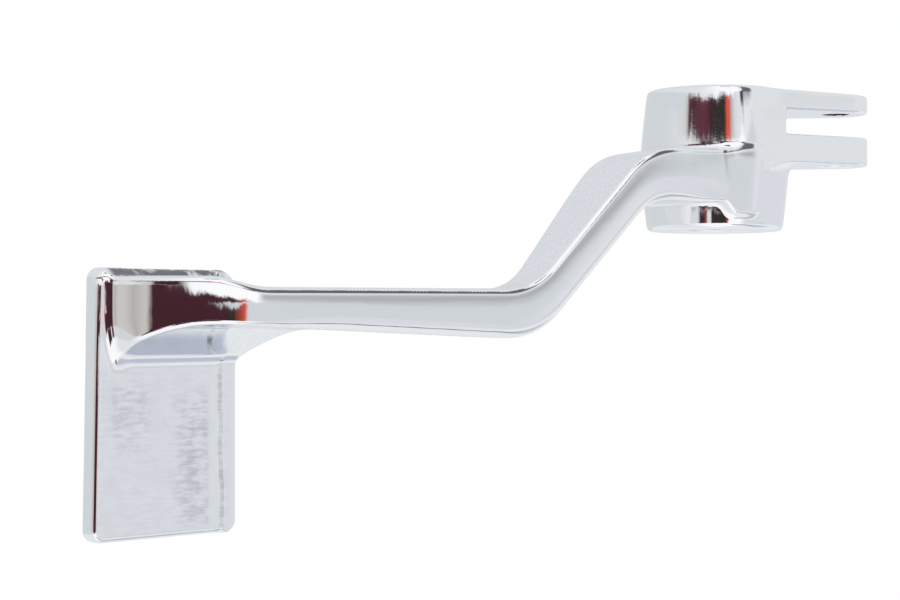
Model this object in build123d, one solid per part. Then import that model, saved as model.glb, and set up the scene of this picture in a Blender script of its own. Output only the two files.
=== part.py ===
from build123d import *
import math
import os

# Right-hand motorcycle brake pedal, forged in one piece and chrome plated.
# Millimetres. The pivot axis is Y and the origin is the middle of the pivot bore.
# Everything is drawn in the arm's own frame: X runs along the arm to the foot pad,
# Y is inboard, and -Z is the underside. The finished solid is then turned about Y
# by arm_rise into its fitted position, with Z up.

arm_rise = 42.0              # degrees that the arm climbs from pivot to pad

# Bounds past the arm and the pad, for outlines that only trim each other
trim_outboard = -150.0
trim_inboard = 50.0
trim_below = -28.5
trim_above = 40.0

# Pivot boss, widest at the parting line and drafted to both ends
boss_length = 46.0
boss_end_radius = 21.9
boss_mid_radius = 24.3
boss_edge_radius = 1.6
shaft_diameter = 22.2
shaft_clearance = 0.05       # on the radius
bore_chamfer = 0.8

# Clevis lever that takes the brake rod
lever_angle = 197.0          # degrees from +X towards +Z
lever_length = 41.5
lever_inset = 0.05           # its round root lies this far inside the boss
ear_end_radius = 10.3
clevis_root_top = 22.7       # top face at the pivot and at the ear's end
clevis_tip_top = 21.4
clevis_bottom = -1.4
clevis_edge_radius = 1.3
clevis_blend_radius = 3.5    # hollow between the lower ear and the boss
slot_width = 7.9
slot_floor = 7.9             # height of the lower ear's inner wall
slot_root = 18.8             # distance of the slot's end from the pivot axis
rod_pin_diameter = 9.5
rod_pin_clearance = 0.1      # on the radius
pin_hole_chamfer = 0.7

# Flat web under the clevis, where the arm's underside runs into the boss
web_left = -2.0
web_foot = 7.5               # where its bottom edge turns up to the arm
web_right = 15.5
web_right_height = -9.5
web_bottom = -18.3
web_corner_radius = 4.0
web_edge_radius = 1.0

# Arm: a deep, narrow section with an offset between boss and pad
arm_near = -23.5             # underside face
arm_far_root = 10.5          # upper face at the boss and past the offset
arm_far_run = -4.5
arm_taper_start = 44.0       # the depth falls between these places
arm_taper_end = 82.0
arm_flare_back = 26.0        # the upper face starts to rise this far behind the pad
arm_far_radii = (60.0, 60.0, 40.0)
arm_root_top = 2.2           # edge heights along Y at the boss
arm_root_bottom = -14.6
arm_run_top = -42.6          # edge heights along Y past the offset
arm_run_bottom = -58.0
arm_end_bottom = -52.0       # lower edge where the run ends inside the wedge
offset_start_top = 38.6      # where the slanted edges leave the root edges
offset_start_bottom = 37.3
offset_angle = 47.5          # degrees
bend_radii_top = (24.0, 22.0)
bend_radii_bottom = (16.0, 26.0)
arm_near_radius = 3.4
arm_far_radius = 3.0

# Foot pad plate with a raised lip along its rear edge
pad_front = 208.4            # front edge of the back face
pad_front_height = -4.1
pad_tilt = 18.8              # degrees that the plate turns away from the arm
pad_depth = 48.8
pad_depth_gain = 1.6         # the plate is deeper by this at its outboard end
pad_thickness = 6.2
pad_top = -37.1
pad_length = 78.2
pad_corner_radius = 3.6
pad_rear_corner_radius = 6.5
pad_edge_radius = 1.0
lip_width = 4.4
lip_height = 2.0
lip_wrap = 13.0              # how far the lip follows the inboard edge forward
lip_edge_radius = 1.2

# Wedge by which the arm spreads over the plate's back
wedge_curve_radius = 51.6    # the underside's curve down to the pad
wedge_nose_run = 1.45        # the straight nose between that curve and the plate
wedge_nose_rise = 5.12
wedge_front_inset = 2.6
wedge_top = -39.4
wedge_top_start = -43.2      # hidden inside the arm, up to wedge_top_rise from the pad
wedge_top_rise = 14.0
wedge_top_radius = 18.0
wedge_foot = -63.4           # footprint edge on the plate's back
wedge_waist = -52.4          # lower side level, at wedge_waist_rise over the plate
wedge_waist_rise = 28.0
wedge_side_radius = 60.0
wedge_corner_radius = 22.0
wedge_back_bottom = -55.5    # lower edge just before it spreads
wedge_top_edge_radius = 2.6
wedge_side_edge_radius = 1.5
wedge_foot_radius = 2.0      # hollows where the wedge lands on the plate
wedge_toe_radius = 1.0


def across(profile, low, high):
    """Carries an X-Z profile along Y, from low to high."""
    return Pos(0, low, 0) * extrude(Plane.XZ * profile, amount=high - low, dir=(0, 1, 0))


def upright(outline, low, high):
    """Carries an X-Y outline along Z, from low to high."""
    return Pos(0, 0, low) * extrude(outline, amount=high - low, dir=(0, 0, 1))


def boss_radius(height):
    """The drafted boss's radius at a height along the pivot axis."""
    return boss_mid_radius - (boss_mid_radius - boss_end_radius) * abs(height) / (boss_length / 2)


def pivot_boss():
    half = boss_length / 2
    section = Polygon(
        (0, -half), (boss_end_radius, -half), (boss_mid_radius, 0), (boss_end_radius, half), (0, half),
        align=None,
    )
    boss = revolve(section, Axis.Y)
    rims = boss.edges().filter_by(GeomType.CIRCLE).filter_by(lambda e: abs(e.center().Y) > half / 2)
    return fillet(rims, boss_edge_radius)


def lever_outline(height):
    """A round root and a round ear joined by their tangents, at a height along Y."""
    root_radius = boss_radius(height) - lever_inset
    lean = math.asin((root_radius - ear_end_radius) / lever_length)
    up = math.cos(lean)
    out = math.sin(lean)
    tip = (lever_length + ear_end_radius * out, ear_end_radius * up)
    root = (root_radius * out, root_radius * up)
    rim = ThreePointArc(root, (-root_radius, 0), (root[0], -root[1]))
    near = Line((root[0], -root[1]), (tip[0], -tip[1]))
    ear = ThreePointArc((tip[0], -tip[1]), (lever_length + ear_end_radius, 0), tip)
    back = Line(tip, root)
    return Pos(0, height, 0) * (Plane.XZ * make_face([rim, near, ear, back]))


def clevis():
    """The forked lever, drawn along +X and then turned about the pivot."""
    top = boss_length / 2
    upper = loft([lever_outline(0), lever_outline(top)], ruled=True)
    lower = loft([lever_outline(clevis_bottom), lever_outline(0)], ruled=True)
    tip = lever_length + 2 * ear_end_radius
    below = Polygon(
        (-boss_mid_radius, clevis_bottom),
        (tip, clevis_bottom),
        (tip, clevis_tip_top),
        (0, clevis_root_top),
        (-boss_mid_radius, clevis_root_top),
        align=None,
    )
    body = (upper + lower) & upright(below, -boss_length, boss_length)
    below_rim = clevis_tip_top - 0.5
    upper_rim = [e for e in body.edges() if e.center().Y > below_rim and e.center().X > boss_end_radius]
    lower_rim = body.faces().sort_by(Axis.Y)[0].edges()
    return Rot(0, -lever_angle, 0) * fillet(lower_rim + upper_rim, clevis_edge_radius)


def clevis_blend():
    """The hollow that carries the lower ear's underside into the boss."""
    draft = math.atan((boss_mid_radius - boss_end_radius) / (boss_length / 2))
    drop = clevis_blend_radius * (1 - math.sin(draft))
    foot = boss_radius(clevis_bottom - drop)
    reach = foot + clevis_blend_radius * math.cos(draft)
    middle = math.radians(45) + draft / 2
    centre = (reach, clevis_bottom - clevis_blend_radius)
    crown = (
        centre[0] - clevis_blend_radius * math.cos(middle),
        centre[1] + clevis_blend_radius * math.sin(middle),
    )
    hollow = ThreePointArc((foot, clevis_bottom - drop), crown, (reach, clevis_bottom))
    inside = clevis_bottom + clevis_edge_radius / 2
    rest = Polyline(
        (reach, clevis_bottom),
        (reach, inside),
        (foot - clevis_blend_radius, inside),
        (foot - clevis_blend_radius, clevis_bottom - drop),
        (foot, clevis_bottom - drop),
    )
    ring = revolve(make_face([hollow, rest]), Axis.Y)
    low = clevis_bottom - clevis_blend_radius
    sides = loft([lever_outline(low), lever_outline(inside)], ruled=True)
    return Rot(0, -lever_angle, 0) * (ring & sides)


def arm_outline():
    """The arm seen along Z: its top and bottom edges with their bends."""
    slope = math.tan(math.radians(offset_angle))
    offset_end_top = offset_start_top + (arm_root_top - arm_run_top) / slope
    offset_end_bottom = offset_start_bottom + (arm_root_bottom - arm_run_bottom) / slope
    end = pad_front - 2 * wedge_front_inset
    top = FilletPolyline(
        (0, arm_root_top),
        (offset_start_top, arm_root_top),
        (offset_end_top, arm_run_top),
        (end, arm_run_top),
        radius=bend_radii_top,
    )
    bottom = FilletPolyline(
        (0, arm_root_bottom),
        (offset_start_bottom, arm_root_bottom),
        (offset_end_bottom, arm_run_bottom),
        (end, arm_end_bottom),
        radius=bend_radii_bottom,
    )
    root = Line((0, arm_root_top), (0, arm_root_bottom))
    tip = Line((end, arm_run_top), (end, arm_end_bottom))
    return make_face([top, bottom, root, tip])


def pad_point(back, rise):
    """X and Z of a point on the pad: its distance back from the front edge, and its rise."""
    tilt = math.radians(pad_tilt)
    x = pad_front - back * math.cos(tilt) - rise * math.sin(tilt)
    z = pad_front_height + back * math.sin(tilt) - rise * math.cos(tilt)
    return x, z


def wedge_turn():
    """Degrees that the underside's curve turns before the nose takes over."""
    toe = pad_point(wedge_front_inset, 0)[1]
    return math.degrees(math.acos(1 - (toe - wedge_nose_rise - arm_near) / wedge_curve_radius))


def wedge_start():
    """X where the flat underside begins to curve, so that the nose ends at the plate."""
    toe = pad_point(wedge_front_inset, 0)[0]
    return toe - wedge_nose_run - wedge_curve_radius * math.sin(math.radians(wedge_turn()))


def underside(turn):
    """A point of the wedge's curved underside, after turning by some degrees."""
    angle = math.radians(turn)
    x = wedge_start() + wedge_curve_radius * math.sin(angle)
    z = arm_near + wedge_curve_radius * (1 - math.cos(angle))
    return x, z


def arm_profile():
    """The arm seen along Y: flat underside, curve down to the pad with a hollow toe, and upper face."""
    near = Line((0, arm_near), underside(0))
    curve = ThreePointArc(underside(0), underside(wedge_turn() / 2), underside(wedge_turn()))
    middle = -pad_thickness / 2
    heel = pad_point(pad_depth, middle)
    far = FilletPolyline(
        (0, arm_far_root),
        (arm_taper_start, arm_far_root),
        (arm_taper_end, arm_far_run),
        (heel[0] - arm_flare_back, arm_far_run),
        heel,
        radius=arm_far_radii,
    )
    toe = pad_point(wedge_front_inset, 0)
    ahead = wedge_front_inset - 1.5 * wedge_toe_radius
    nose = Polyline(underside(wedge_turn()), toe, pad_point(ahead, 0), pad_point(ahead, middle), heel)
    profile = make_face([near, curve, nose, far, Line((0, arm_far_root), (0, arm_near))])
    return fillet(profile.vertices().sort_by_distance(toe)[0], wedge_toe_radius)


def is_rail(edge):
    """True for an edge that runs along the arm, not across it or along Z."""
    return edge.bounding_box().size.X > 0.4


def on_underside(edge):
    """True for an edge on the flat underside or on its curve down to the pad."""
    x, z = edge.center().X, edge.center().Z
    rise = wedge_curve_radius - math.hypot(max(0, x - wedge_start()), arm_near + wedge_curve_radius - z)
    return abs(rise) < 0.1


def arm():
    body = upright(arm_outline(), trim_below, trim_above)
    body &= across(arm_profile(), trim_outboard, trim_inboard)
    flare = pad_point(pad_depth, 0)[0] - arm_flare_back - arm_far_radii[2]
    near = [e for e in body.edges() if is_rail(e) and on_underside(e)]
    body = fillet(near, arm_near_radius)
    rails = [e for e in body.edges() if is_rail(e) and e.center().X < flare]
    return fillet([e for e in rails if e.center().Z > arm_far_run - 0.1], arm_far_radius)


def pad_frame():
    """The pad's own plane: x back from the front edge, y inboard, z out of the back face."""
    x, z = pad_point(0, 0)
    tilt = math.radians(pad_tilt)
    return Plane(
        origin=(x, 0, z),
        x_dir=(-math.cos(tilt), 0, math.sin(tilt)),
        z_dir=(-math.sin(tilt), 0, -math.cos(tilt)),
    )


def wedge_section():
    """The wedge across the pad: a hollow lower side that lands on the back with a blend."""
    side = RadiusArc((wedge_foot, 0), (wedge_waist, wedge_waist_rise), -wedge_side_radius)
    rest = Polyline(
        (wedge_waist, wedge_waist_rise),
        (wedge_waist, 2 * wedge_waist_rise),
        (wedge_top, 2 * wedge_waist_rise),
        (wedge_top, -pad_thickness / 2),
        (wedge_foot, -pad_thickness / 2),
        (wedge_foot, 0),
    )
    foot = (wedge_foot, 0)
    strip = Pos(foot) * Rectangle(3 * wedge_foot_radius, pad_thickness / 2, align=(Align.MAX, Align.MAX))
    section = make_face([side, rest]) + strip
    return fillet(section.vertices().sort_by_distance(foot)[0], wedge_foot_radius)


def wedge():
    """The arm's spread over the pad's back."""
    frame = pad_frame()
    section = Plane(origin=frame.origin, x_dir=(0, 1, 0), z_dir=frame.x_dir)
    along = extrude(section * wedge_section(), amount=2 * pad_depth, dir=frame.x_dir)
    heel = pad_point(pad_depth, -pad_thickness)[0]
    back = heel - 1.6 * wedge_corner_radius
    deep = wedge_foot - 2 * wedge_corner_radius
    top = FilletPolyline(
        (back, wedge_top_start),
        (heel, wedge_top_start),
        (heel + wedge_top_rise, wedge_top),
        (pad_front, wedge_top),
        radius=wedge_top_radius,
    )
    bottom = FilletPolyline(
        (back, wedge_back_bottom), (heel, wedge_back_bottom), (heel, deep), radius=wedge_corner_radius
    )
    rest = Polyline((heel, deep), (pad_front, deep), (pad_front, wedge_top))
    plan = make_face([top, bottom, rest, Line((back, wedge_back_bottom), (back, wedge_top_start))])
    body = upright(plan, trim_below, trim_above) & along
    body &= across(arm_profile(), trim_outboard, trim_inboard)
    rails = [e for e in body.edges() if is_rail(e) and on_underside(e)]
    middle = (wedge_top + wedge_waist) / 2
    body = fillet([e for e in rails if e.center().Y > middle], wedge_top_edge_radius)
    rails = [e for e in body.edges() if is_rail(e) and on_underside(e) and e.center().Y < middle]
    return fillet(rails, wedge_side_edge_radius)


def pad_outline():
    low = pad_top - pad_length
    outline = Polygon(
        (0, pad_top), (pad_depth, pad_top), (pad_depth, low), (-pad_depth_gain, low), align=None
    )
    rear_top = outline.vertices().sort_by_distance((pad_depth, pad_top))[0]
    outline = fillet(rear_top, pad_rear_corner_radius)
    corners = ((0, pad_top), (pad_depth, low), (-pad_depth_gain, low))
    others = [outline.vertices().sort_by_distance(corner)[0] for corner in corners]
    return fillet(others, pad_corner_radius)


def pad():
    outline = pad_outline()
    plate = extrude(outline, amount=-pad_thickness, dir=(0, 0, 1))
    ring = outline - offset(outline, -lip_width)
    low_end = pad_top - pad_length
    rear = Pos(pad_depth, low_end) * Rectangle(lip_width, pad_length, align=(Align.MAX, Align.MIN))
    wrap = Pos(pad_depth, pad_top) * Rectangle(lip_wrap, 2 * lip_width, align=(Align.MAX, Align.MAX))
    lip = extrude(ring & (rear + wrap), amount=lip_height, dir=(0, 0, 1))
    top = lip.faces().sort_by(Axis.Z)[-1]
    lip = fillet(top.edges(), lip_edge_radius)
    tread = plate.faces().sort_by(Axis.Z)[0]
    back = plate.faces().sort_by(Axis.Z)[-1]
    plate = fillet(tread.edges() + back.edges(), pad_edge_radius)
    return pad_frame() * (plate + lip)


def web():
    outline = Polygon(
        (web_left, 0),
        (web_left, web_bottom),
        (web_foot, web_bottom),
        (web_right, web_right_height),
        (web_right, 0),
        align=None,
    )
    low = outline.vertices().group_by(Axis.Y)[0]
    outline = fillet(low, web_corner_radius)
    block = upright(outline, arm_near, -boss_end_radius / 2)
    face = block.faces().sort_by(Axis.Z)[0]
    rims = [e for e in face.edges() if e.center().Y < -0.1 and e.center().X < web_right - 0.1]
    return fillet(rims, web_edge_radius)


def clevis_slot():
    """The gap between the ears, open at the tip and on both sides."""
    reach = lever_length + 2 * ear_end_radius - slot_root
    gap = Pos(slot_root + reach / 2, 0) * Rectangle(reach, 4 * boss_mid_radius)
    return Rot(0, -lever_angle, 0) * across(gap, slot_floor, slot_floor + slot_width)


def drilled_hole(radius, low, high, chamfer_size):
    """A round hole along Y between two heights, countersunk at both ends."""
    section = Polygon(
        (0, low - chamfer_size),
        (radius + 2 * chamfer_size, low - chamfer_size),
        (radius, low + chamfer_size),
        (radius, high - chamfer_size),
        (radius + 2 * chamfer_size, high + chamfer_size),
        (0, high + chamfer_size),
        align=None,
    )
    return revolve(section, Axis.Y)


def pivot_bore():
    radius = shaft_diameter / 2 + shaft_clearance
    return drilled_hole(radius, -boss_length / 2, boss_length / 2, bore_chamfer)


def rod_pin_hole():
    radius = rod_pin_diameter / 2 + rod_pin_clearance
    share = lever_length / (lever_length + 2 * ear_end_radius)
    top = clevis_root_top + (clevis_tip_top - clevis_root_top) * share
    hole = Pos(lever_length, 0, 0) * drilled_hole(radius, clevis_bottom, top, pin_hole_chamfer)
    return Rot(0, -lever_angle, 0) * hole


def brake_pedal():
    """The whole forging in its fitted position."""
    forging = pivot_boss() + clevis() + clevis_blend() + web() + arm() + wedge() + pad()
    forging -= clevis_slot()
    forging -= pivot_bore()
    forging -= rod_pin_hole()
    return Rot(0, -arm_rise, 0) * forging


os.makedirs("parts", exist_ok=True)
export_step(brake_pedal(), "parts/brake_pedal.step")
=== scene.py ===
import bpy
import bmesh
import math
import numpy as np
from mathutils import Matrix, Vector


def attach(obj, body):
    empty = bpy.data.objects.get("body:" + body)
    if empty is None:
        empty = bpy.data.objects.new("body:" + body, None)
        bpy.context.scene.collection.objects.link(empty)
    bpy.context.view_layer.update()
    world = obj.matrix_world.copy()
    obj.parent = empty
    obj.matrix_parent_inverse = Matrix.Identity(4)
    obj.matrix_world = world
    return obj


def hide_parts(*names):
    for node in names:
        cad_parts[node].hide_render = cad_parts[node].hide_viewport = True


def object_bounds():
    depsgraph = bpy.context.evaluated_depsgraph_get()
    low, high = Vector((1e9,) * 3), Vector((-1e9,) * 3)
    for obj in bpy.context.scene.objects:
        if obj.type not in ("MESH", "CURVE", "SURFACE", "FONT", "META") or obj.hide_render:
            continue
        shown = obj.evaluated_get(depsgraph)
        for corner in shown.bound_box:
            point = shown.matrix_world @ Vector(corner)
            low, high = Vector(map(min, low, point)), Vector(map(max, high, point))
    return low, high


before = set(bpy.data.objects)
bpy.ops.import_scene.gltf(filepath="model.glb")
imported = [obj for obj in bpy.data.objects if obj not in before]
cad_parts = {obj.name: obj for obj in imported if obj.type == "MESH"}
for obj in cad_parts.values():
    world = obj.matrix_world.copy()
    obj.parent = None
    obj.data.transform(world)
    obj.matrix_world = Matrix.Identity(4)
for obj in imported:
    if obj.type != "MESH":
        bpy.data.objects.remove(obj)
cadBox = [list(corner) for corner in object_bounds()]
scene = bpy.context.scene

# The pedal's shape is one signed field, below zero inside the metal. Its lengths are millimetres in the
# arm's own frame: u runs along the arm from the pivot, v along the pivot towards the machine, and w up
# from the arm's underside.
armRise = math.radians(42.0)          # how far the arm climbs from the pivot to the plate
perMetre = 1000                       # millimetres
quarterTurn = 90                      # degrees


def toArm(points):             # u = x cos(rise) + z sin(rise), v = y, w = z cos(rise) - x sin(rise)
    x, y, z = points.T
    return x * math.cos(armRise) + z * math.sin(armRise), y, z * math.cos(armRise) - x * math.sin(armRise)


def fromArm(u, v, w):          # the same turn backwards
    x = u * math.cos(armRise) - w * math.sin(armRise)
    z = u * math.sin(armRise) + w * math.cos(armRise)
    return np.stack([x, v, z], axis=1)


def softMax(a, b, blend):      # the larger of two fields, plus blend/4 times the square of how near they are
    near = np.maximum(blend - np.abs(a - b), 0) / blend
    return np.maximum(a, b) + near * near * blend / 4


def softMin(a, b, blend):      # the smaller, rounded in the same way
    return -softMax(-a, -b, blend)


def bend(radius, degrees):     # the blend that stands for an arc: 4 r (1 - cos(turn / 2))
    return 4 * radius * (1 - math.cos(math.radians(degrees) / 2))


# Distance left of a line: the cross product of its direction and the point
def besideLine(x, y, x0, y0, x1, y1):
    run = math.hypot(x1 - x0, y1 - y0)
    return ((x1 - x0) * (y - y0) - (y1 - y0) * (x - x0)) / run


def roundedCorner(a, b, radius):   # two square sides, joined by an arc where both are nearer than its radius
    arc = np.hypot(np.maximum(a + radius, 0), np.maximum(b + radius, 0)) - radius
    return np.where((a > -radius) & (b > -radius), arc, np.maximum(a, b))


def easeBetween(x, start, end):   # 0 before start, 1 after end, 3 t^2 - 2 t^3 between
    t = np.clip((x - start) / (end - start), 0, 1)
    return t * t * (3 - 2 * t)


def easeOver(first, second, share):   # first + (second - first) share, from one length to another
    return first + (second - first) * share


hub = dict(
    length=46.0,
    endRadius=21.9,
    midRadius=24.3,
    crest=2.6,                        # how far the rounding at mid length reaches
    endStart=15.0,                    # past this both ends roll in,
    endFall=0.0025,                   # by this times the way squared
    edgeRadius=1.6,
    boreRadius=11.15,
    chamfer=0.8,
)


# Widest at mid length: mid - fall (sqrt(v^2 + crest^2) - crest) - endFall (|v| - endStart)^2
def hubRadius(v):
    fall = (hub["midRadius"] - hub["endRadius"]) / (hub["length"] / 2)
    rolled = hub["endFall"] * np.clip(np.abs(v) - hub["endStart"], 0, hub["length"]) ** 2
    v = np.clip(v, -hub["length"], hub["length"])
    return hub["midRadius"] - fall * (np.sqrt(v * v + hub["crest"] ** 2) - hub["crest"]) - rolled


def hubField(u, v, w):         # distance from the pivot less that radius, capped at both ends, rims rounded
    side = np.hypot(u, w) - hubRadius(v)
    return softMax(side, np.abs(v) - hub["length"] / 2, bend(hub["edgeRadius"], quarterTurn))


def boreField(u, v, w):        # distance from the pivot less the bore's radius, opening at both rims
    opening = np.clip(np.abs(v) - hub["length"] / 2 + hub["chamfer"], 0, 2 * hub["chamfer"])
    return np.hypot(u, w) - hub["boreRadius"] - opening


fork = dict(
    angle=197.0,                      # degrees from u towards w
    length=41.5,
    tipRadius=10.3,
    inset=0.05,                       # its round root lies this far inside the hub
    rootTop=22.7, tipTop=21.4,        # upper face at the pivot and at the tip
    bottom=-1.4,
    edgeRadius=0.8,
    slotFloor=7.9, slotWidth=7.9, slotRoot=18.8,
    pinRadius=4.85,
    chamfer=0.7,
    hollow=3.5,                       # between the lower ear and the hub
)


def forkFrame(u, w):           # along = the fork's own direction from the pivot, across = square to it
    turn = math.radians(fork["angle"])
    return u * math.cos(turn) + w * math.sin(turn), w * math.cos(turn) - u * math.sin(turn)


# A large circle at the pivot and a small one at the tip, joined by their tangents
def forkOutline(along, across, v):
    root = hubRadius(v) - fork["inset"]
    lean = (root - fork["tipRadius"]) / fork["length"]
    flat = np.sqrt(1 - lean * lean)
    side = np.abs(across)
    place = along * flat - side * lean
    atRoot = np.hypot(along, side) - root
    atTip = np.hypot(along - fork["length"], side) - fork["tipRadius"]
    atLine = along * lean + side * flat - root
    return np.where(place < 0, atRoot, np.where(place > fork["length"] * flat, atTip, atLine))


def forkField(u, v, w):        # that outline between a flat lower face and an upper face sloping to the tip
    along, across = forkFrame(u, w)
    slope = (fork["rootTop"] - fork["tipTop"]) / (fork["length"] + 2 * fork["tipRadius"])
    top = v - fork["rootTop"] + slope * np.maximum(along, 0)
    edge = bend(fork["edgeRadius"], quarterTurn)
    return softMax(softMax(forkOutline(along, across, v), top, edge), fork["bottom"] - v, edge)


def rodSlotField(u, v, w):     # a flat slot from its root to beyond the tip
    along = forkFrame(u, w)[0]
    middle = fork["slotFloor"] + fork["slotWidth"] / 2
    return np.maximum(np.abs(v - middle) - fork["slotWidth"] / 2, fork["slotRoot"] - along)


def pinHoleField(u, v, w):     # distance from the pin's axis less its radius, opening at both rims
    along, across = forkFrame(u, w)
    share = fork["length"] / (fork["length"] + 2 * fork["tipRadius"])
    top = fork["rootTop"] + (fork["tipTop"] - fork["rootTop"]) * share
    over = np.maximum(v - top + fork["chamfer"], fork["bottom"] + fork["chamfer"] - v)
    opening = np.clip(over, 0, 2 * fork["chamfer"])
    return np.hypot(along - fork["length"], across) - fork["pinRadius"] - opening


plate = dict(
    front=208.4, frontHeight=-4.1,    # front edge of the back face
    tilt=math.radians(18.8),          # how far it turns away from the arm
    depth=48.8,
    depthGain=1.6,                    # deeper by this at its outboard end
    thickness=6.2,
    top=-37.1,
    length=78.2,
    cornerRadius=3.6, rearCornerRadius=6.5,
    edgeRadius=1.0,                   # of the tread side's rim
    rimRadius=1.5,                    # of the back face's rim
    topRim=2.8, topRimEdge=(-5, -3),  # the same along its top, reached between these places below the top
    rearRim=0.7, rearRimEdge=(-6, -3),   # and along the lip, reached ahead of the rear edge
    rimDepth=1.0,                     # height over which one rim turns into the other
    lipWidth=4.4, lipHeight=0.8, lipWrap=7.0, lipRadius=0.8,
    lipLift=0.52, lipRamp=2.0,        # the lip's low ramp on the back face
    waver=0.28,                       # how far the ramp's foot strays
    waverTurns=((1.0, 0.11, 1.0), (0.6, 0.29, 0.0), (0.25, 0.61, 2.0)),   # share, radians per mm, start
)
wedge = dict(
    curveRadius=51.6,                 # the underside's curve down to the plate
    noseRun=2.7, noseRise=4.3,        # the steep nose between that curve and the plate
    inset=3.3,                        # from the plate's front edge to the nose's toe
    noseBlend=1.0,
    bowLevel=-49.3, bowReach=16,      # below this level, and for this way, the nose stands back
    bow=0.0145,                       # by this times the way squared
    top=-39.4, topStart=-43.2, topRise=14.0, topRadius=18.0,
    foot=-63.4,                       # where it lands on the plate's back
    waist=-52.4, waistRise=28.0, sideRadius=60.0,
    cornerRadius=22.0, cornerReach=1.6, cornerBlend=0.8,
    backBottom=-55.5,
    topEdge=2.0, sideEdge=1.2, farEdge=0.4,
    crown=0.32, lowCrown=0.1,
    crownEnd=(176, 192), crownLoss=0.9,   # the upper crown fades out towards the plate
)
arm = dict(
    near=-23.5,                       # underside
    farRoot=10.5, farRun=-4.5,        # upper face at the hub and along the run
    taperStart=44.0, taperEnd=82.0, flareBack=26.0, farRadii=(60.0, 60.0, 40.0),
    rootTop=2.2, rootBottom=-14.6,    # edges beside the hub
    runTop=-42.6, runBottom=-58.0,    # and past the offset
    endBottom=-52.0,
    offsetTop=38.6, offsetBottom=37.3, offsetAngle=47.5,
    topRadii=(24.0, 22.0), bottomRadii=(16.0, 26.0),
    topEdge=1.9, lowEdge=2.6, farRadius=3.0,
    rootEdge=(16, 30),                # the lower edge is sharper before these places
    crown=0.35, lowCrown=0.7, crownStart=(4, 26),
    spread=(140, 172),                # where the arm turns into the wedge
    topBlend=1.2, lowBlend=1.2,       # hollows between the arm's sides and the wedge's
    leastWidth=1.0, acrossReach=1.2,  # for the crown: the narrowest face, and how far past its sides it goes
)
web = dict(
    left=-2.0, foot=7.5, right=15.5, rightHeight=-9.5, bottom=-18.3,
    slant=48,                         # degrees that its lower edge turns up
    cornerRadius=4.0, edgeRadius=3.0, blend=0.8, edgeBlend=0.4,
)


# A point of the tilted plate: its front edge, less back along it, less rise square to it
def platePoint(back, rise):
    c, s = math.cos(plate["tilt"]), math.sin(plate["tilt"])
    return plate["front"] - back * c - rise * s, plate["frontHeight"] + back * s - rise * c


# The same backwards: back = way from the front edge along the plate, rise = way off its back face
def plateFrame(u, w):
    c, s = math.cos(plate["tilt"]), math.sin(plate["tilt"])
    du, dw = u - plate["front"], w - plate["frontHeight"]
    return dw * s - du * c, -du * s - dw * c


# Level, then an arc w = near + r - sqrt(r^2 - (u - start)^2), then a short steep nose that stands back by bow
def undersideField(u, w, bow):
    toe = platePoint(wedge["inset"], 0)
    r = wedge["curveRadius"]
    turn = math.acos(1 - (toe[1] - wedge["noseRise"] - arm["near"]) / r)
    start = toe[0] - wedge["noseRun"] - r * math.sin(turn)
    arc = np.hypot(u - start, w - arm["near"] - r) - r
    nose = -besideLine(u + bow, w, toe[0] - wedge["noseRun"], toe[1] - wedge["noseRise"], toe[0], toe[1])
    return softMax(np.where(u < start, arm["near"] - w, arc), nose, wedge["noseBlend"])


# Deep at the root, a straight taper, level, then a climb to the plate's heel, all rounded
def upperField(u, w):
    heel = platePoint(plate["depth"], -plate["thickness"] / 2)
    root = w - arm["farRoot"]
    taper = besideLine(u, w, arm["taperStart"], arm["farRoot"], arm["taperEnd"], arm["farRun"])
    run = w - arm["farRun"]
    climb = besideLine(u, w, heel[0] - arm["flareBack"], arm["farRun"], heel[0], heel[1])
    fall = math.degrees(math.atan2(arm["farRoot"] - arm["farRun"], arm["taperEnd"] - arm["taperStart"]))
    rise = math.degrees(math.atan2(heel[1] - arm["farRun"], arm["flareBack"]))
    first, second, third = arm["farRadii"]
    level = softMin(softMax(root, taper, bend(first, fall)), run, bend(second, fall))
    return softMin(level, climb, bend(third, rise))


def armSides(u, v):            # a top and a bottom edge, each level, then slanting outboard, then level again
    angle = arm["offsetAngle"]
    slope = math.tan(math.radians(angle))
    endTop = arm["offsetTop"] + (arm["rootTop"] - arm["runTop"]) / slope
    endBottom = arm["offsetBottom"] + (arm["rootBottom"] - arm["runBottom"]) / slope
    end = plate["front"] - 2 * wedge["inset"]
    slantTop = besideLine(u, v, arm["offsetTop"], arm["rootTop"], endTop, arm["runTop"])
    top = softMax(v - arm["rootTop"], slantTop, bend(arm["topRadii"][0], angle))
    top = softMin(top, v - arm["runTop"], bend(arm["topRadii"][1], angle))
    slantBottom = -besideLine(u, v, arm["offsetBottom"], arm["rootBottom"], endBottom, arm["runBottom"])
    bottom = softMin(arm["rootBottom"] - v, slantBottom, bend(arm["bottomRadii"][0], angle))
    run = -besideLine(u, v, endBottom, arm["runBottom"], end, arm["endBottom"])
    return top, softMax(bottom, run, bend(arm["bottomRadii"][1], angle))


def wedgeTop(u, v):            # level, a rounded step up behind the plate, level again
    heel = platePoint(plate["depth"], -plate["thickness"])[0]
    step = math.degrees(math.atan2(wedge["top"] - wedge["topStart"], wedge["topRise"]))
    soft = bend(wedge["topRadius"], step)
    climb = besideLine(u, v, heel, wedge["topStart"], heel + wedge["topRise"], wedge["top"])
    return softMax(softMin(v - wedge["topStart"], climb, soft), v - wedge["top"], soft)


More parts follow.
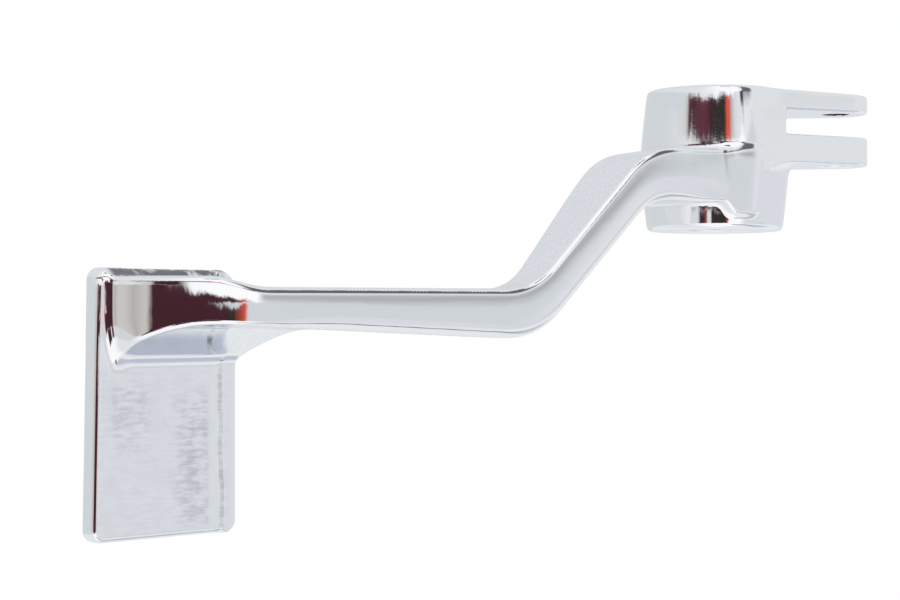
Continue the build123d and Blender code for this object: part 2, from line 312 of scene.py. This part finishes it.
def wedgeSide(v, rise):        # a hollow arc from the foot on the plate up to the waist, straight above it
    chord = math.hypot(wedge["foot"] - wedge["waist"], wedge["waistRise"])
    lift = math.sqrt(wedge["sideRadius"] ** 2 - chord ** 2 / 4)
    centreV = (wedge["foot"] + wedge["waist"]) / 2 - wedge["waistRise"] / chord * lift
    centreRise = wedge["waistRise"] / 2 + (wedge["waist"] - wedge["foot"]) / chord * lift
    hollow = wedge["sideRadius"] - np.hypot(v - centreV, rise - centreRise)
    return np.where(rise > wedge["waistRise"], wedge["waist"] - v, hollow)


def wedgeFoot(u, v, w):        # the wedge's own lower boundary: its hollow side and a quarter-round shoulder
    rise = plateFrame(u, w)[1]
    heel = platePoint(plate["depth"], -plate["thickness"])[0]
    r = wedge["cornerRadius"]
    cornerU, cornerV = heel - r, wedge["backBottom"] - r
    quarter = np.where(v <= cornerV, heel - u, r - np.hypot(u - cornerU, v - cornerV))
    shoulder = np.where(u <= cornerU, wedge["backBottom"] - v, quarter)
    low = softMax(wedgeSide(v, rise), shoulder, wedge["cornerBlend"])
    return np.maximum(low, heel - wedge["cornerReach"] * r - u)


def webFoot(u, v):             # the flat web under the fork: level, then slanting, its first corner round
    slant = -besideLine(u, v, web["foot"], web["bottom"], web["right"], web["rightHeight"])
    low = softMax(web["bottom"] - v, slant, bend(web["cornerRadius"], web["slant"]))
    low = softMax(web["left"] - u, low, bend(web["cornerRadius"], quarterTurn))
    return np.maximum(low, u - web["right"])


# Arm, wedge and web as one: a top and a bottom edge, an underside crowned by bulge (way from its middle)^2,
# and the upper face, each blended into the next
def stemField(u, v, w):
    armTop, armBottom = armSides(u, v)
    top = softMin(armTop, wedgeTop(u, v), arm["topBlend"])
    bottom = softMin(armBottom, wedgeFoot(u, v, w), arm["lowBlend"])
    bottom = softMin(bottom, webFoot(u, v), web["blend"])
    spread = easeBetween(u, *arm["spread"])
    width = np.maximum(-top - bottom, arm["leastWidth"])
    across = np.clip((top - bottom) / width, -arm["acrossReach"], arm["acrossReach"])
    upper = easeOver(arm["crown"], wedge["crown"], spread)
    upper *= 1 - wedge["crownLoss"] * easeBetween(u, *wedge["crownEnd"])
    lower = easeOver(arm["lowCrown"], wedge["lowCrown"], spread)
    bulge = np.where(across > 0, upper, lower) * easeBetween(u, *arm["crownStart"])
    bow = wedge["bow"] * np.clip(v - wedge["bowLevel"], -wedge["bowReach"], 0) ** 2
    near = undersideField(u, w, bow) + bulge * across ** 2
    sharper = spread + 1 - easeBetween(u, *arm["rootEdge"])
    topEdge = bend(easeOver(arm["topEdge"], wedge["topEdge"], spread), quarterTurn)
    lowEdge = bend(easeOver(arm["lowEdge"], wedge["sideEdge"], sharper), quarterTurn)
    farEdge = bend(easeOver(arm["farRadius"], wedge["farEdge"], spread), quarterTurn)
    body = np.maximum(softMax(top, near, topEdge), softMax(bottom, near, lowEdge))
    webEdge = softMax(web["left"] - u, near, bend(web["edgeRadius"], quarterTurn))
    body = softMax(body, webEdge, web["edgeBlend"])
    body = softMax(body, upperField(u, w), farEdge)
    rise = plateFrame(u, w)[1]
    return np.maximum(body, -plate["thickness"] / 2 - rise)


# Four straight sides with round corners, the front one running out by depthGain to the outboard end
def plateOutline(back, v):
    low = plate["top"] - plate["length"]
    slope = plate["depthGain"] / plate["length"]
    front = (-back - slope * (plate["top"] - v)) / math.hypot(1, slope)
    rear = back - plate["depth"]
    rearTop = roundedCorner(rear, v - plate["top"], plate["rearCornerRadius"])
    rearLow = roundedCorner(rear, low - v, plate["cornerRadius"])
    frontTop = roundedCorner(front, v - plate["top"], plate["cornerRadius"])
    frontLow = roundedCorner(front, low - v, plate["cornerRadius"])
    return np.maximum(np.maximum(rearTop, rearLow), np.maximum(frontTop, frontLow))


# That outline at the sheet's thickness. Its back face climbs by lipLift along a wavering ramp near the rear
# edge, and a lip wraps round one corner.
def plateField(u, v, w):
    back, rise = plateFrame(u, w)
    outline = plateOutline(back, v)
    half = plate["thickness"] / 2
    ahead = back - plate["depth"]
    wide = easeOver(plate["rimRadius"], plate["topRim"], easeBetween(v - plate["top"], *plate["topRimEdge"]))
    wide = easeOver(wide, plate["rearRim"], easeBetween(ahead, *plate["rearRimEdge"]))
    rim = easeOver(plate["edgeRadius"], wide, easeBetween(rise, -half, -half + plate["rimDepth"]))
    waver = sum(share * np.sin(turn * v + first) for share, turn, first in plate["waverTurns"])
    start = plate["depth"] - plate["lipWidth"] - plate["lipRamp"] + plate["waver"] * waver
    lift = plate["lipLift"] * easeBetween(back, start, start + plate["lipRamp"])
    sheet = softMax(outline, np.maximum(rise - lift, -rise - 2 * half), bend(rim, quarterTurn))
    wrap = -ahead - plate["lipWrap"]
    corner = np.maximum(np.maximum(outline, -outline - plate["lipWidth"]), wrap)
    corner = np.maximum(corner, plate["top"] - 2 * plate["lipWidth"] - v)
    lip = softMax(corner, rise - plate["lipHeight"], bend(plate["lipRadius"], quarterTurn))
    return np.minimum(sheet, np.maximum(lip, -rise - half))


# Width of the blend at each join: its least, what is added, and where along the arm that share changes
joins = dict(
    hubToStem=dict(least=1.2, more=1.0, places=(15, 9)),
    stemToPlate=dict(least=2.4, more=1.4, places=(196, 202)),
    slot=1.2,                         # the rims of the rod's slot
    hole=0.4,                         # the rims of the bore and the pin's hole
)


def joinWidth(u, join):        # least + more times the eased share
    return join["least"] + join["more"] * easeBetween(u, *join["places"])


# The union of all of these, with a hollow where they meet, less the slot and both holes
def pedalField(u, v, w):
    hubBody, forkBody = hubField(u, v, w), forkField(u, v, w)
    along, across = forkFrame(u, w)
    hollow = softMin(hubBody, forkBody, bend(fork["hollow"], quarterTurn))
    clip = np.maximum(forkOutline(along, across, v), v - fork["slotFloor"] / 2)
    head = np.minimum(np.minimum(hubBody, forkBody), np.maximum(hollow, clip))
    body = softMin(head, stemField(u, v, w), joinWidth(u, joins["hubToStem"]))
    body = softMin(body, plateField(u, v, w), joinWidth(u, joins["stemToPlate"]))
    body = softMax(body, -rodSlotField(u, v, w), joins["slot"])
    body = softMax(body, -boreField(u, v, w), joins["hole"])
    return softMax(body, -pinHoleField(u, v, w), joins["hole"])


def slopeOf(u, v, w, step=0.02):   # the field's gradient, by differences of one step each way
    du = pedalField(u + step, v, w) - pedalField(u - step, v, w)
    dv = pedalField(u, v + step, w) - pedalField(u, v - step, w)
    dw = pedalField(u, v, w + step) - pedalField(u, v, w - step)
    return np.stack([du, dv, dw], axis=1) / (2 * step)


skin = dict(
    grid=0.00072,                     # side of a quad, in metres
    merge=1e-6,
    rounds=5,                         # how often each point is moved
    reach=0.6,                        # and how far at most each time
    leastSteep=0.15,                  # smallest |g|^2 that a step is divided by
)


def gridOnPedal(s):            # an even grid of quads, from a merged copy of the solid
    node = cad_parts["brake_pedal"]
    merged = bpy.data.meshes.new("pedalMerged")
    shell = bmesh.new()
    shell.from_mesh(node.data)
    bmesh.ops.remove_doubles(shell, verts=shell.verts, dist=s["merge"])
    shell.to_mesh(merged)
    shell.free()
    holder = bpy.data.objects.new("pedalGrid", merged)
    scene.collection.objects.link(holder)
    remesh = holder.modifiers.new("grid", "REMESH")
    remesh.mode = "VOXEL"
    remesh.voxel_size = s["grid"]
    mesh = bpy.data.meshes.new_from_object(holder.evaluated_get(bpy.context.evaluated_depsgraph_get()))
    bpy.data.objects.remove(holder)
    bpy.data.meshes.remove(merged)
    return mesh


# Where the plating is grainy or filmed, and where shade is painted on it. Each pair is where a share starts
# and stops changing.
finishAndShade = dict(
    sideways=(0.72, 0.93),            # sine of the angle between a face's normal and w
    armStart=(18, 30), armEnd=(166, 176),   # along the arm
    offHub=(24.5, 27),                # way from the pivot
    hubShare=0.05,
    onBack=(-1.2, -0.4),              # rise off the plate's back face
    belowWedge=(-63.5, -66),          # level
    lipStart=(46, 47),                # way from the plate's front edge
    # the film's two darker patches: way from the front edge, and level
    rightPatch=dict(back=(19, 34), backEnd=(38.2, 39.6), low=(-115.5, -109), high=(-80, -68)),
    leftPatch=dict(back=(3, 6), backEnd=(14, 22), low=(-96, -84), high=(-74, -66)),
    leftShare=0.75, restShare=0.22,
    clear=(39, 40), clearEnd=(43.5, 44.5), clearShare=0.9,   # a cleaner strip beside the lip's ramp
    rampShadeStart=(41, 42), rampShadeLean=(0.008, 0.03),              # painted shade on the ramp, where the face leans
    # painted shade: a dark strip in the recess along the plate's upper rim, above the wedge
    recessShadeStrip=dict(level=(-39.7, -39.1), back=(3, 5), backEnd=(42, 45), bottom=-3.8, upwards=(0.95, 0.99)),
)


def between(x, up, down):      # rises over the first pair and falls over the second
    return easeBetween(x, *up) * (1 - easeBetween(x, *down))


def patchOn(back, v, p):       # a soft rectangle on the plate's back
    return between(back, p["back"], p["backEnd"]) * between(v, p["low"], p["high"])


# Three marks from 0 to 1 at each point: the grain of the cast sides; the film on the plate's back plus
# painted shade where its face leans on the lip's ramp; and painted shade in the recess along the plate's
# upper rim
def markFinishAndShade(mesh, points, normals, f):
    u, v, w = points.T
    back, rise = plateFrame(u, w)
    offHub = easeBetween(np.hypot(u, w), *f["offHub"])
    sideways = easeBetween(np.hypot(normals[:, 0], normals[:, 1]), *f["sideways"])
    onArm = between(u, f["armStart"], f["armEnd"]) * offHub
    satin = np.maximum(sideways * onArm, f["hubShare"] * (1 - offHub))
    onBack = easeBetween(rise, *f["onBack"]) * easeBetween(v, *f["belowWedge"])
    onBack *= 1 - easeBetween(back, *f["lipStart"])
    patches = np.maximum(patchOn(back, v, f["rightPatch"]), f["leftShare"] * patchOn(back, v, f["leftPatch"]))
    clear = 1 - f["clearShare"] * between(back, f["clear"], f["clearEnd"])
    lean = 1 + normals[:, 0] * math.sin(plate["tilt"]) + normals[:, 2] * math.cos(plate["tilt"])
    # painted shade: darker where the plate's back face leans on the lip's ramp
    rampShade = easeBetween(lean, *f["rampShadeLean"]) * easeBetween(back, *f["rampShadeStart"])
    filmAndShadeMark = onBack * np.maximum(np.maximum(patches, f["restShare"]) * clear, rampShade)
    g = f["recessShadeStrip"]
    # painted shade: a dark strip in the recess along the plate's upper rim, above the wedge
    recessShade = easeBetween(v, *g["level"]) * between(back, g["back"], g["backEnd"]) * (rise > g["bottom"])
    recessShade *= 1 - easeBetween(normals[:, 1], *g["upwards"])
    for name, values in (("satin", satin), ("filmAndShadeMark", filmAndShadeMark), ("recessShade", recessShade)):
        mark = mesh.attributes.new(name, "FLOAT", "POINT")
        mark.data.foreach_set("value", values.astype(np.float32))


# Each point moves to where the field is zero: p - g f / |g|^2 with the gradient g, a few times over
def makeSkin(s):
    mesh = gridOnPedal(s)
    places = np.empty(len(mesh.vertices) * 3)
    mesh.vertices.foreach_get("co", places)
    points = np.stack(toArm(places.reshape(-1, 3) * perMetre), axis=1)
    for _ in range(s["rounds"]):
        slope = slopeOf(*points.T)
        steep = np.maximum((slope * slope).sum(axis=1), s["leastSteep"])
        step = np.clip(pedalField(*points.T) / steep, -s["reach"], s["reach"])
        points -= slope * step[:, None]
    slope = slopeOf(*points.T)
    normals = slope / np.linalg.norm(slope, axis=1)[:, None]
    places = np.clip(fromArm(*points.T) / perMetre, cadBox[0], cadBox[1])
    mesh.vertices.foreach_set("co", places.ravel())
    mesh.polygons.foreach_set("use_smooth", np.ones(len(mesh.polygons), dtype=bool))
    mesh.update()
    mesh.normals_split_custom_set_from_vertices(fromArm(*normals.T))
    markFinishAndShade(mesh, points, normals, finishAndShade)
    mesh.name = "pedalSkin"
    piece = bpy.data.objects.new("pedalSkin", mesh)
    scene.collection.objects.link(piece)
    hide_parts("brake_pedal")
    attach(piece, "root")
    return piece


pedalSkin = makeSkin(skin)
print("pedal skin made:", len(pedalSkin.data.polygons), "quads")


def addNode(tree, kind, **settings):   # a shader node with its settings
    node = tree.nodes.new(kind)
    for name, value in settings.items():
        setattr(node, name, value)
    return node


def addMath(tree, operation, first, second=None, third=None):   # each value is a number or a socket
    node = addNode(tree, "ShaderNodeMath", operation=operation)
    for socket, value in zip(node.inputs, (first, second, third)):
        if isinstance(value, (int, float)):
            socket.default_value = value
        elif value is not None:
            tree.links.new(value, socket)
    return node.outputs[0]


def softStep(tree, value, start, end):   # 0 before start, 1 after end, 3 t^2 - 2 t^3 between
    node = addNode(tree, "ShaderNodeMapRange", interpolation_type="SMOOTHSTEP")
    tree.links.new(value, node.inputs["Value"])
    node.inputs["From Min"].default_value = start
    node.inputs["From Max"].default_value = end
    return node.outputs["Result"]


def mixTones(tree, factor, first, second):   # first at 0, second at 1
    node = addNode(tree, "ShaderNodeMix", data_type="RGBA")
    tree.links.new(factor, node.inputs["Factor"])
    for value, socket in ((first, node.inputs["A"]), (second, node.inputs["B"])):
        if isinstance(value, (tuple, list)):
            socket.default_value = value
        else:
            tree.links.new(value, socket)
    return node.outputs["Result"]


def addNoise(tree, spot, scale, detail, roughness=0.5):   # cloudy noise, 0 to 1
    node = addNode(tree, "ShaderNodeTexNoise")
    node.inputs["Scale"].default_value = scale
    node.inputs["Detail"].default_value = detail
    node.inputs["Roughness"].default_value = roughness
    tree.links.new(spot, node.inputs["Vector"])
    return node.outputs["Fac"]


def addBump(tree, height, distance, below=None):   # relief of this depth, over the relief below it
    node = addNode(tree, "ShaderNodeBump")
    node.inputs["Distance"].default_value = distance
    tree.links.new(height, node.inputs["Height"])
    if below is not None:
        tree.links.new(below, node.inputs["Normal"])
    return node.outputs["Normal"]


def readMark(tree, name):      # one of the skin's marks, 0 to 1
    return addNode(tree, "ShaderNodeAttribute", attribute_name=name).outputs["Fac"]


chrome = dict(
    clean=(0.90, 0.90, 0.91, 1.0),
    filmAndShade=(0.66, 0.66, 0.68, 1.0),     # where handling and polish have left a film, and painted shade on the lip's ramp
    pits=(0.83, 0.85, 0.86, 1.0),     # the low spots of the cast sides' grain
    recessShade=(0.20, 0.20, 0.21, 1.0),      # painted shade in the recess along the plate's upper rim
    gloss=0.035,                      # roughness of the mirror faces
    satinGloss=0.20,                  # more, on the cast sides
    filmAndShadeGloss=0.16,                 # more, under the film and the painted ramp shade
    hazeGloss=0.02,                   # a little more, in wide faint patches
    recessShadeGloss=0.30,                    # more, under the painted recess shade
    waves=dict(scale=70.0, detail=2.0),
    waveDepth=5.0e-5,                 # metres, as the other depths
    grain=dict(scale=1000.0, detail=3.0),
    grainDepth=8.0e-5,
    strokes=dict(scale=900.0, detail=5.0, roughness=0.65),
    strokeDepth=1.2e-5,
    strokeStretch=0.22,               # share of the scale that is left along a stroke
    blots=dict(scale=190.0, detail=4.0, roughness=0.6),
    haze=dict(scale=45.0, detail=5.0),
    strokeShare=0.6, blotShare=0.4,   # of strokes and blots in the film
    filmAndShadeEdges=(0.40, 0.62), hazeEdges=(0.45, 0.75), pitEdges=(0.46, 0.60), recessShadeEdges=(0.68, 0.48),
)


# Mirror plating: long waves everywhere, grain on the cast sides, strokes and film on the plate's back,
# painted shade on the lip's ramp and along the plate's upper rim
def makeChrome(c):
    material = bpy.data.materials.new("chromePlate")
    material.use_nodes = True
    tree = material.node_tree
    shader = tree.nodes["Principled BSDF"]
    shader.inputs["Metallic"].default_value = 1.0
    spot = addNode(tree, "ShaderNodeTexCoord").outputs["Object"]
    satin = readMark(tree, "satin")
    filmAndShadeMark = readMark(tree, "filmAndShadeMark")
    recessShade = readMark(tree, "recessShade")
    # strokes run along the plate's depth, so they are long that way and short along its length
    lean = armRise - plate["tilt"]
    depth = addNode(tree, "ShaderNodeVectorMath", operation="DOT_PRODUCT")
    depth.inputs[1].default_value = (-math.cos(lean), 0, -math.sin(lean))
    tree.links.new(spot, depth.inputs[0])
    parts = addNode(tree, "ShaderNodeSeparateXYZ")
    tree.links.new(spot, parts.inputs[0])
    along = addNode(tree, "ShaderNodeCombineXYZ")
    tree.links.new(addMath(tree, "MULTIPLY", depth.outputs["Value"], c["strokeStretch"]), along.inputs[0])
    tree.links.new(parts.outputs["Y"], along.inputs[1])
    strokes = addNoise(tree, along.outputs[0], **c["strokes"])
    blots = addNoise(tree, spot, **c["blots"])
    speckle = addNoise(tree, spot, **c["grain"])
    # the film with the painted ramp shade, the pits and the painted recess shade, each laid over the colour
    # before it
    filmAndShade = addMath(tree, "MULTIPLY", blots, c["blotShare"])
    filmAndShade = addMath(tree, "ADD", addMath(tree, "MULTIPLY", strokes, c["strokeShare"]), filmAndShade)
    filmAndShade = addMath(tree, "MULTIPLY", softStep(tree, filmAndShade, *c["filmAndShadeEdges"]), filmAndShadeMark)
    pitted = addMath(tree, "MULTIPLY", softStep(tree, speckle, *c["pitEdges"]), satin)
    recessShadeAmount = addMath(tree, "MULTIPLY", recessShade, softStep(tree, blots, *c["recessShadeEdges"]))
    colour = mixTones(tree, filmAndShade, c["clean"], c["filmAndShade"])
    colour = mixTones(tree, pitted, colour, c["pits"])
    colour = mixTones(tree, recessShadeAmount, colour, c["recessShade"])
    tree.links.new(colour, shader.inputs["Base Color"])
    haze = softStep(tree, addNoise(tree, spot, **c["haze"]), *c["hazeEdges"])
    rough = c["gloss"]
    shares = dict(satinGloss=satin, filmAndShadeGloss=filmAndShade, hazeGloss=haze, recessShadeGloss=recessShadeAmount)
    for name, share in shares.items():
        rough = addMath(tree, "MULTIPLY_ADD", share, c[name], rough)
    tree.links.new(rough, shader.inputs["Roughness"])
    waved = addBump(tree, addNoise(tree, spot, **c["waves"]), c["waveDepth"])
    grained = addBump(tree, addMath(tree, "MULTIPLY", speckle, satin), c["grainDepth"], waved)
    stroked = addBump(tree, addMath(tree, "MULTIPLY", strokes, filmAndShadeMark), c["strokeDepth"], grained)
    tree.links.new(stroked, shader.inputs["Normal"])
    return material


pedalSkin.data.materials.clear()
pedalSkin.data.materials.append(makeChrome(chrome))
print("chrome made")

# The photograph's view: the camera looks up at the underside, with the pivot upright in the picture
view = dict(
    turn=math.radians(25.5),          # the camera's swing from square to the arm's underside
    distance=0.658,                   # from the camera to the pivot, along the view
    side=0.0870,                      # the pivot lies this far right of the view's middle
    height=0.0505,                    # and this far above it
    focalLength=80.0,
    shiftY=15 / 900,                  # of the picture's width
)


# Right, up and forward of the picture: the arm's own axes, turned by the swing
def pictureAxes(v):
    along = Vector((math.cos(armRise), 0, math.sin(armRise)))
    above = Vector((-math.sin(armRise), 0, math.cos(armRise)))
    right = -math.cos(v["turn"]) * along - math.sin(v["turn"]) * above
    forward = -math.sin(v["turn"]) * along + math.cos(v["turn"]) * above
    return right, Vector((0, 1, 0)), forward


def makeCamera(v):             # placed so that the pivot lands right of and above the picture's middle
    right, up, forward = pictureAxes(v)
    place = -v["side"] * right - v["distance"] * forward - v["height"] * up
    data = bpy.data.cameras.new("camera")
    data.lens = v["focalLength"]
    data.shift_y = v["shiftY"]
    camera = bpy.data.objects.new("camera", data)
    axes = Matrix((right, up, -forward)).transposed()
    camera.matrix_world = Matrix.Translation(place) @ axes.to_4x4()
    scene.collection.objects.link(camera)
    scene.camera = camera


makeCamera(view)
print("camera made")

# Tones as the screen shows them, from 0 to 255: white light, the tent's pale cloth, its dark opening and the
# opening's warm trim
screenTones = dict(
    glare=(252, 252, 254), bright=(244, 246, 248), paper=(229, 232, 234), linen=(221, 224, 226),
    cloth=(214, 217, 223), pearl=(206, 211, 214), sand=(197, 194, 189), steel=(184, 192, 207),
    dusk=(176, 173, 174), smoke=(160, 162, 167), ash=(112, 116, 118), slate=(100, 100, 106),
    shadow=(64, 64, 58), soot=(50, 46, 43), ink=(44, 46, 62), plum=(66, 36, 44), wine=(92, 48, 60),
    rust=(152, 68, 56), ember=(214, 88, 68),
)

# The studio is a light tent around the pedal. Directions are degrees in the picture's own axes: swing is
# nought towards the camera and grows to the right, height is nought level with the camera and grows upwards.
studio = dict(
    reflectance=0.90,                 # the plating's share, so that a tone below is what the chrome shows
    ripple=1.6,                       # how far the tent's folds move its edges, in degrees
    folds=dict(scale=7.0, detail=1.0),
    crease=1.1,                       # the same for its fine creases
    creases=dict(scale=42.0, detail=2.0),
    background=(1.0, 1.0, 1.0, 1.0),  # what the camera itself sees
    tent=[(-180, "cloth"), (-138, "pearl"), (-91, "pearl"), (-74, "cloth"), (-45, "linen"), (0, "paper"),
          (30, "paper"), (44, "linen"), (50, "pearl"), (58, "cloth"), (66, "linen"), (80, "pearl"),
          (96, "cloth"), (180, "cloth")],
)
# Bands of the tent, each over the one before it, with tones by swing: the light above and below, and between
# them the opening that the camera looks through
bands = dict(
    above=dict(
        heights=(20.0, 95.0), edge=1.0,
        tones=[(-180, "cloth"), (-50, "linen"), (-25, "paper"), (-5, "bright"), (12, "glare"), (36, "glare"),
               (42, "linen"), (100, "linen"), (180, "cloth")]),
    below=dict(
        heights=(-95.0, -17.0), edge=1.5,
        tones=[(-180, "paper"), (-60, "linen"), (-30, "bright"), (38, "glare"), (48, "cloth"), (56, "paper"),
               (180, "paper")]),
    lit=dict(
        heights=(2.5, 15.6), edge=0.8,
        tones=[(-100, "pearl"), (-46, "linen"), (-31, "sand"), (-28, "plum"), (-12, "plum"), (-8, "dusk"),
               (-3, "bright"), (8, "glare"), (41, "glare"), (44, "linen"), (50, "pearl"), (58, "pearl"),
               (66, "linen")]),
    level=dict(
        heights=(-9.5, 2.5), edge=0.7,
        tones=[(-92, "pearl"), (-60, "sand"), (-45, "dusk"), (-33, "sand"), (-30, "plum"), (16, "plum"),
               (24, "soot"), (28, "rust"), (31, "ember"), (33, "pearl"), (52, "pearl"), (58, "cloth"),
               (66, "linen"), (80, "cloth")]),
    high=dict(
        heights=(15.6, 20.2), edge=0.6,
        tones=[(-60, "pearl"), (-53, "sand"), (-50, "wine"), (-44, "plum"), (-30, "wine"), (-22, "wine"),
               (-13, "plum"), (-9, "soot"), (9, "soot"), (11, "rust"), (13, "ember"), (17, "ember"),
               (20, "dusk"), (23, "sand"), (27, "cloth"), (44, "paper"), (63, "linen"), (80, "cloth")]),
    low=dict(
        heights=(-17.5, -9.5), edge=0.7,
        tones=[(-60, "pearl"), (-36, "cloth"), (-33, "dusk"), (-31, "ink"), (-25, "plum"), (-21, "rust"),
               (-19, "pearl"), (-14, "linen"), (-12, "soot"), (11, "soot"), (14, "rust"), (17, "bright"),
               (34, "glare"), (46, "cloth"), (80, "pearl"), (100, "linen")]),
)
# Folds that shade it: swing at the lowest height, degrees of lean for each degree of height, half the width
shades = [
    dict(swing=49.0, lean=0.26, half=9.0, heights=(19.0, 60.0), edge=2.5, tone="slate"),
    dict(swing=49.0, lean=0.2, half=7.0, heights=(4.5, 8.5), edge=3.5, tone="smoke"),
    dict(swing=50.0, lean=0.0, half=24.0, heights=(-41.0, -33.0), edge=2.5, tone="ash"),
    dict(swing=92.0, lean=0.0, half=24.0, heights=(-54.0, -32.0), edge=7.0, tone="steel"),
    dict(swing=39.0, lean=0.0, half=3.0, heights=(17.0, 21.5), edge=1.5, tone="shadow"),
    dict(swing=18.0, lean=0.0, half=12.0, heights=(51.0, 64.0), edge=2.0, tone="shadow"),
    dict(swing=17.0, lean=14.0, half=7.0, heights=(-0.4, 1.2), edge=0.5, tone="pearl"),
]
fullTurn = 360                        # degrees


# A screen tone as light: ((c + 0.055) / 1.055) ^ 2.4, or c / 12.92 in the toe, over the plating's share
def toned(name, share):
    parts = [c / 255 for c in screenTones[name]]
    return [(p / 12.92 if p < 0.04045 else ((p + 0.055) / 1.055) ** 2.4) / share for p in parts] + [1.0]


def addRamp(tree, place, stopsAt, share):   # tones by swing: place is 0 at -180 degrees and 1 at 180
    node = addNode(tree, "ShaderNodeValToRGB")
    stops = node.color_ramp.elements
    for index, (swing, name) in enumerate(stopsAt):
        where = swing / fullTurn + 0.5
        stop = stops[index] if index < len(stops) else stops.new(where)
        stop.position = where
        stop.color = toned(name, share)
    tree.links.new(place, node.inputs["Fac"])
    return node.outputs["Color"]


def insideEdges(tree, value, low, high, edge):   # 1 from low to high, with soft edges
    rise = softStep(tree, value, low - edge, low + edge)
    fall = softStep(tree, value, high + edge, high - edge)
    return addMath(tree, "MULTIPLY", rise, fall)


# Swing is the arctangent of right over towards the camera, height the arcsine of up, both moved by the folds
def makeStudio(s, v):
    world = bpy.data.worlds.new("studio")
    world.use_nodes = True
    scene.world = world
    tree = world.node_tree
    direction = addNode(tree, "ShaderNodeTexCoord").outputs["Generated"]
    right, up, forward = pictureAxes(v)
    parts = []
    for axis in (right, up, -forward):
        dot = addNode(tree, "ShaderNodeVectorMath", operation="DOT_PRODUCT")
        tree.links.new(direction, dot.inputs[0])
        dot.inputs[1].default_value = axis
        parts.append(dot.outputs["Value"])
    shift = addNoise(tree, direction, **s["folds"])
    shift = addMath(tree, "MULTIPLY_ADD", shift, 2 * s["ripple"], -s["ripple"] - s["crease"])
    shift = addMath(tree, "MULTIPLY_ADD", addNoise(tree, direction, **s["creases"]), 2 * s["crease"], shift)
    turn = addMath(tree, "ARCTAN2", parts[0], parts[2])
    swing = addMath(tree, "ADD", addMath(tree, "DEGREES", turn), shift)
    height = addMath(tree, "ADD", addMath(tree, "DEGREES", addMath(tree, "ARCSINE", parts[1])), shift)
    place = addMath(tree, "MULTIPLY_ADD", swing, 1 / fullTurn, 0.5)
    tone = addRamp(tree, place, s["tent"], s["reflectance"])
    for band in bands.values():
        inside = insideEdges(tree, height, *band["heights"], band["edge"])
        tone = mixTones(tree, inside, tone, addRamp(tree, place, band["tones"], s["reflectance"]))
    for fold in shades:
        level = insideEdges(tree, height, *fold["heights"], fold["edge"])
        lowest = fold["heights"][0]
        middle = addMath(tree, "MULTIPLY_ADD", height, fold["lean"], fold["swing"] - fold["lean"] * lowest)
        away = addMath(tree, "ABSOLUTE", addMath(tree, "SUBTRACT", swing, middle))
        inside = softStep(tree, away, fold["half"] + fold["edge"], fold["half"] - fold["edge"])
        inside = addMath(tree, "MULTIPLY", inside, level)
        tone = mixTones(tree, inside, tone, toned(fold["tone"], s["reflectance"]))
    eye = addNode(tree, "ShaderNodeLightPath").outputs["Is Camera Ray"]
    seen = mixTones(tree, eye, tone, s["background"])
    tree.links.new(seen, tree.nodes["Background"].inputs["Color"])


makeStudio(studio, view)
print("studio made")

floorPlan = dict(
    height=-0.24,
    reach=6.0,                        # metres from the pivot to each side
    steps=24,
    colour=(0.86, 0.86, 0.87, 1.0),
    roughness=0.6,
    clear=0.45, fade=1.6,             # it turns into the white background between these distances
)


def mixShaders(tree, factor, first, second):   # first at 0, second at 1
    node = addNode(tree, "ShaderNodeMixShader")
    tree.links.new(factor, node.inputs["Fac"])
    tree.links.new(first, node.inputs[1])
    tree.links.new(second, node.inputs[2])
    return node.outputs["Shader"]


# A flat grid: x and y run evenly from -reach to reach at one height. Mirror rays pass it, so that the chrome
# shows the tent alone.
def makeFloor(f):
    line = np.linspace(-f["reach"], f["reach"], f["steps"] + 1)
    x, y = np.meshgrid(line, line, indexing="ij")
    points = np.stack([x.ravel(), y.ravel(), np.full(x.size, f["height"])], axis=1)
    row = f["steps"] + 1
    corner = (np.arange(f["steps"])[:, None] * row + np.arange(f["steps"])[None, :]).ravel()
    faces = np.stack([corner, corner + row, corner + row + 1, corner + 1], axis=1)
    mesh = bpy.data.meshes.new("floor")
    mesh.from_pydata(points.tolist(), [], faces.tolist())
    floor = bpy.data.objects.new("floor", mesh)
    scene.collection.objects.link(floor)
    material = bpy.data.materials.new("paleFloor")
    material.use_nodes = True
    tree = material.node_tree
    shader = tree.nodes["Principled BSDF"]
    shader.inputs["Base Color"].default_value = f["colour"]
    shader.inputs["Roughness"].default_value = f["roughness"]
    spot = addNode(tree, "ShaderNodeTexCoord").outputs["Object"]
    away = addNode(tree, "ShaderNodeVectorMath", operation="LENGTH")
    tree.links.new(spot, away.inputs[0])
    path = addNode(tree, "ShaderNodeLightPath")
    far = softStep(tree, away.outputs["Value"], f["clear"], f["fade"])
    far = addMath(tree, "MULTIPLY", far, path.outputs["Is Camera Ray"])
    mirrored = addMath(tree, "MAXIMUM", path.outputs["Is Glossy Ray"], path.outputs["Is Transmission Ray"])
    backdrop = addNode(tree, "ShaderNodeEmission").outputs["Emission"]
    nothing = addNode(tree, "ShaderNodeBsdfTransparent").outputs["BSDF"]
    surface = mixShaders(tree, far, shader.outputs["BSDF"], backdrop)
    surface = mixShaders(tree, mirrored, surface, nothing)
    tree.links.new(surface, tree.nodes["Material Output"].inputs["Surface"])
    mesh.materials.append(material)


makeFloor(floorPlan)
print("floor made")

scene.view_settings.view_transform = "Standard"
